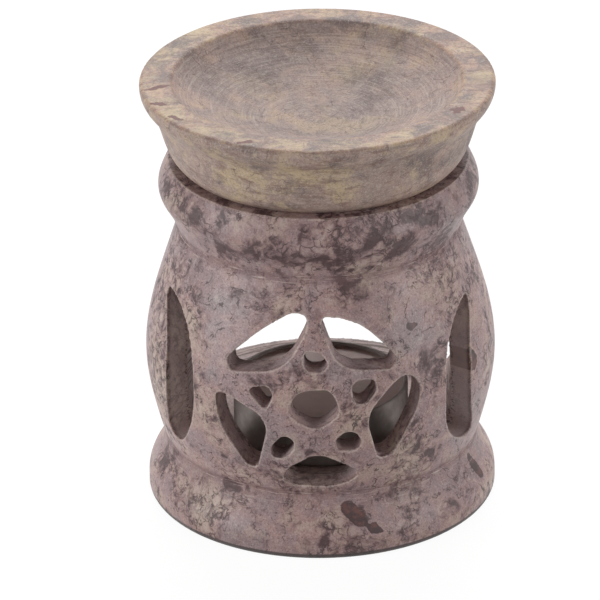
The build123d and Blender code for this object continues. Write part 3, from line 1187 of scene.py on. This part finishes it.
@dataclass
class Tealight:
    """The tealight that the burner works with: a foil cup, wax, and a wick in its sustainer."""

    wall: float = 0.0004
    corner: float = 0.001
    bead: float = 0.0005
    rib_depth: float = 0.00005
    rib_half: float = 0.0006
    wax_dip: float = 0.0004
    pour_gap: float = 0.0001
    strand_count: int = 3
    strand_radius: float = 0.00040
    strand_offset: float = 0.00038
    strand_pitch: float = 0.0032
    around: int = 96

    def cup(self) -> bpy.types.Object:
        """Make the drawn cup with its rolled rim and two pressed ribs.

        Returns:
            The piece.
        """
        low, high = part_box("tealight_cup")
        middle = Vector(((low.x + high.x) / 2, (low.y + high.y) / 2, low.z))
        radius = (high.x - low.x) / 2
        height = high.z - low.z
        profile = [(0.0, 0.0), (radius * 0.5, 0.0)]
        profile += arc(radius - self.corner, self.corner, self.corner, -90, 0, 6)
        for share in (0.34, 0.7):
            rib = height * share
            for step in range(-4, 5):
                press = self.rib_depth * 0.5 * (1 + math.cos(math.pi * step / 4))
                profile.append((radius - press, rib + self.rib_half * step / 4))
        profile += arc(radius - self.bead, height - self.bead, self.bead, 0, 250, 14)
        inner = radius - self.wall
        profile.append((inner, height - 2 * self.bead))
        profile += arc(inner - self.corner * 0.6, self.wall + self.corner * 0.6, self.corner * 0.6, 0, -90, 5)
        profile.append((0.0, self.wall))
        return turned("foil_cup", profile, middle, self.around)

    def wax(self) -> bpy.types.Object:
        """Make the wax, which sinks a little between the cup and the wick.

        Returns:
            The piece.
        """
        low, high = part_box("tealight_wax")
        wick_low, wick_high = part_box("tealight_wick")
        sustainer_low, sustainer_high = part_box("wick_sustainer")
        middle = Vector(((low.x + high.x) / 2, (low.y + high.y) / 2, low.z))
        radius = (high.x - low.x) / 2
        top = high.z - low.z
        gap = self.pour_gap
        hole = (wick_high.x - wick_low.x) / 2 + gap * 0.5
        disc = (sustainer_high.x - sustainer_low.x) / 2 + gap
        disc_top = wick_low.z - low.z + gap
        neck_top = sustainer_high.z - low.z + gap
        neck = hole + 5 * gap
        profile = [(hole, neck_top), (neck, neck_top), (neck, disc_top), (disc, disc_top), (disc, 0.0)]
        profile += arc(radius - self.corner, self.corner, self.corner, -90, 0, 5)
        for share in (1.0, 0.985, 0.96, 0.92, 0.84, 0.7, 0.5, 0.32, 0.2, 0.12, 0.08):
            sink = min(1.0, (1 - share) * 9) * min(1.0, (share - 0.045) * 7)
            profile.append((radius * share, top - self.wax_dip * sink))
        profile.append((hole, top))
        return turned("poured_wax", profile, middle, self.around)

    def wick(self) -> bpy.types.Object:
        """Make the wick from twisted strands.

        Returns:
            The piece.
        """
        low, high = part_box("tealight_wick")
        middle = (low + high) / 2
        sides = 10
        steps = 72
        made = bmesh.new()
        for strand in range(self.strand_count):
            rings = []
            for step in range(steps + 1):
                share = step / steps
                height = low.z + (high.z - low.z) * share
                phase = 2 * math.pi * ((height - low.z) / self.strand_pitch + strand / self.strand_count)
                close = 1 - 0.35 * max(0.0, share - 0.97) / 0.03
                centre_x = middle.x + self.strand_offset * math.cos(phase)
                centre_y = middle.y + self.strand_offset * math.sin(phase)
                ring = []
                for side in range(sides):
                    angle = 2 * math.pi * side / sides
                    x = centre_x + self.strand_radius * close * math.cos(angle)
                    y = centre_y + self.strand_radius * close * math.sin(angle)
                    ring.append(made.verts.new((x, y, height)))
                rings.append(ring)
            for ring, upper in zip(rings, rings[1:]):
                for side in range(sides):
                    after = (side + 1) % sides
                    made.faces.new((ring[side], ring[after], upper[after], upper[side]))
            made.faces.new(list(reversed(rings[0])))
            made.faces.new(rings[-1])
        return finished(made, "braided_wick", 50)

    def dress(self) -> None:
        """Build the tealight's pieces and hand them to the frame."""
        settle(self.cup(), "tealight_cup", "tealight", DrawnFoil().material())
        settle(self.wax(), "tealight_wax", "tealight", PouredWax().material())
        settle(self.wick(), "tealight_wick", "tealight", WaxedCotton().material())
        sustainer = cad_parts["wick_sustainer"]
        sustainer.data.materials.clear()
        sustainer.data.materials.append(TinnedSheet().material())
        log.info("wick_sustainer: the frame's own solid, dressed")


@dataclass(frozen=True)
class SoftLamp:
    """One square lamp that points at the burner."""

    name: str
    place: tuple[float, float, float]
    side: float
    watts: float


@dataclass
class Studio:
    """Camera, lamps and the white sweep that the burner stands on."""

    elevation_deg: float = 25.989
    azimuth_deg: float = 1.2
    distance: float = 1.29575
    target_height: float = 0.045606
    focal_px: float = 5971.29
    frame_px: float = 600.0
    target_px: tuple[float, float] = (319.9, 291.6)
    roll_deg: float = 0.71
    sensor_mm: float = 36.0
    sky: float = 0.22
    floor_side: float = 3.0
    floor_bounce: Colour = (0.5, 0.5, 0.5, 1.0)
    floor_shown: Colour = (0.1, 0.1, 0.1, 1.0)
    floor_glow: float = 0.94
    aim_height: float = 0.05
    lamps: tuple[SoftLamp, ...] = (
        SoftLamp("back_lamp", (0.0, 0.75, 0.9), 0.7, 10.5),
        SoftLamp("left_lamp", (-1.05, -0.45, 0.2), 0.6, 8.8),
        SoftLamp("right_lamp", (1.05, -0.45, 0.2), 0.6, 6.1),
    )

    def camera(self) -> None:
        """Put the camera where the photograph was taken."""
        azimuth = math.radians(self.azimuth_deg)
        elevation = math.radians(self.elevation_deg)
        level = math.cos(elevation)
        back = Vector((math.sin(azimuth) * level, -math.cos(azimuth) * level, math.sin(elevation)))
        target = Vector((0.0, 0.0, self.target_height))
        place = target + back * self.distance
        right = Vector((math.cos(azimuth), math.sin(azimuth), 0.0))
        up = back.cross(right)
        roll = Matrix.Rotation(math.radians(-self.roll_deg), 3, back)
        right = roll @ right
        up = roll @ up
        off_x = (self.target_px[0] - self.frame_px / 2) / self.focal_px * self.distance
        off_y = (self.frame_px / 2 - self.target_px[1]) / self.focal_px * self.distance
        view = (target - right * off_x - up * off_y - place).normalized()
        side = view.cross(up).normalized()
        top = side.cross(view)
        data = bpy.data.cameras.new("camera")
        data.sensor_width = self.sensor_mm
        data.lens = self.focal_px / self.frame_px * self.sensor_mm
        data.clip_start = 0.05
        data.clip_end = 20.0
        camera = bpy.data.objects.new("camera", data)
        axes = Matrix((side, top, -view)).transposed()
        camera.matrix_world = Matrix.Translation(place) @ axes.to_4x4()
        bpy.context.scene.collection.objects.link(camera)
        bpy.context.scene.camera = camera

    @staticmethod
    def seen(shader: Shader) -> Link:
        """1 for rays that show the background: seen straight, mirrored or through glass."""
        straight = shader.node("ShaderNodeLightPath", output="Is Camera Ray")
        mirrored = straight.also("Is Glossy Ray")
        return straight.highest(mirrored).highest(straight.also("Is Transmission Ray"))

    def world(self) -> None:
        """Light the room evenly and show it white."""
        world = bpy.data.worlds.new("studio_room")
        bpy.context.scene.world = world
        shader = Shader(world)
        lit = shader.node("ShaderNodeBackground", None, {"Color": (1, 1, 1, 1), "Strength": self.sky})
        shown = shader.node("ShaderNodeBackground", None, {"Color": (1, 1, 1, 1), "Strength": 1.0})
        shader.close(shader.node("ShaderNodeMixShader", None, {0: self.seen(shader), 1: lit, 2: shown}))

    def floor(self) -> None:
        """Lay the white floor, which keeps the burner's shadow."""
        half = self.floor_side / 2
        mesh = bpy.data.meshes.new("studio_floor")
        corners = [(-half, -half, 0.0), (half, -half, 0.0), (half, half, 0.0), (-half, half, 0.0)]
        mesh.from_pydata(corners, [], [(0, 1, 2, 3)])
        shader = new_material("studio_white")
        matt = shader.node("ShaderNodeBsdfDiffuse", None, {"Color": self.floor_bounce})
        pale = shader.node("ShaderNodeBsdfDiffuse", None, {"Color": self.floor_shown})
        glow = shader.node("ShaderNodeEmission", None, {"Color": (1, 1, 1, 1), "Strength": self.floor_glow})
        lifted = shader.node("ShaderNodeAddShader", None, {0: pale, 1: glow})
        shader.close(shader.node("ShaderNodeMixShader", None, {0: self.seen(shader), 1: matt, 2: lifted}))
        mesh.materials.append(shader.owner)
        floor = bpy.data.objects.new("studio_floor", mesh)
        bpy.context.scene.collection.objects.link(floor)

    def light(self) -> None:
        """Hang the lamps."""
        aim = Vector((0.0, 0.0, self.aim_height))
        for lamp in self.lamps:
            data = bpy.data.lights.new(lamp.name, "AREA")
            data.shape = "SQUARE"
            data.size = lamp.side
            data.energy = lamp.watts
            hung = bpy.data.objects.new(lamp.name, data)
            hung.location = lamp.place
            hung.rotation_euler = (aim - Vector(lamp.place)).to_track_quat("-Z", "Y").to_euler()
            bpy.context.scene.collection.objects.link(hung)

    def build(self) -> None:
        """Set up the studio."""
        self.camera()
        self.world()
        self.floor()
        self.light()
        bpy.context.scene.view_settings.view_transform = "Standard"


def main() -> None:
    """Dress the burner piece by piece."""
    logging.basicConfig(level=logging.INFO, format="%(name)s %(message)s")
    Studio().build()
    CarvedStand().dress()
    TurnedDish().dress()
    Tealight().dress()


if __name__ == "__main__":
    main()
